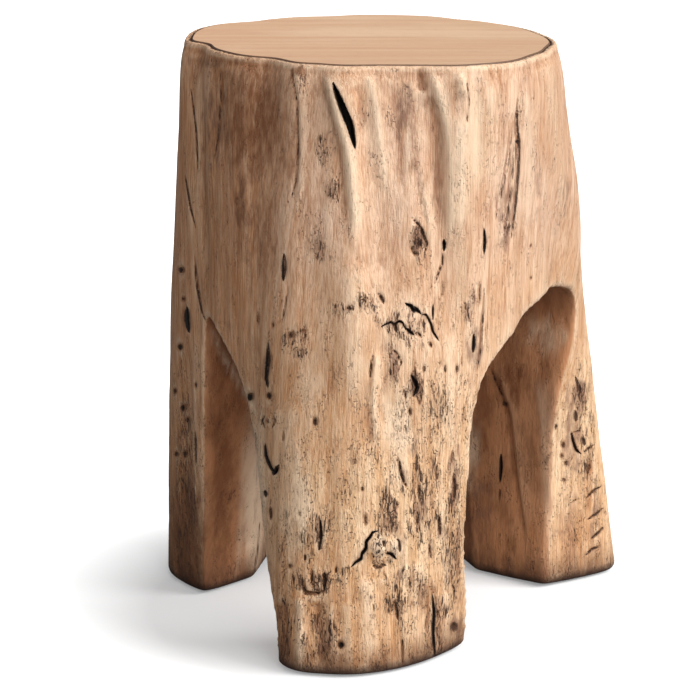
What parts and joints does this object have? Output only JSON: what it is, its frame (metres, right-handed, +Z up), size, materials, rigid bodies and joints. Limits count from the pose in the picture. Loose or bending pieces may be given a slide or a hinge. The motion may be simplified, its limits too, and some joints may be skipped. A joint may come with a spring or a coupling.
{
  "type": "outdoor stool",
  "caption": "Stool carved from a thick tapered log with buttressed legs parted by arches, and a flat straight-grained seat board let into the top.",
  "frame": {"origin": "on the floor, in the middle of the stool's bounding box", "axes": "+Z up, front leg towards -Y"},
  "size_m": [0.3736, 0.3367, 0.457],
  "materials": {
    "log_wood": "matt, carved, weathered light tan with brown mottling",
    "board_wood": "matt, sanded, straight grain",
    "sealant": "matt dark brown",
    "dowel_wood": "plain turned",
    "nylon": "matt black",
    "stainless": "bright"
  },
  "bodies": {
    "root": {"trunk": "log_wood", "seat_board": "board_wood", "seat_joint_seal": "sealant", "seat_dowels": "dowel_wood", "front_glide": "nylon", "right_glide": "nylon", "left_glide": "nylon", "glide_screws": "stainless"}
  },
  "joints": []
}
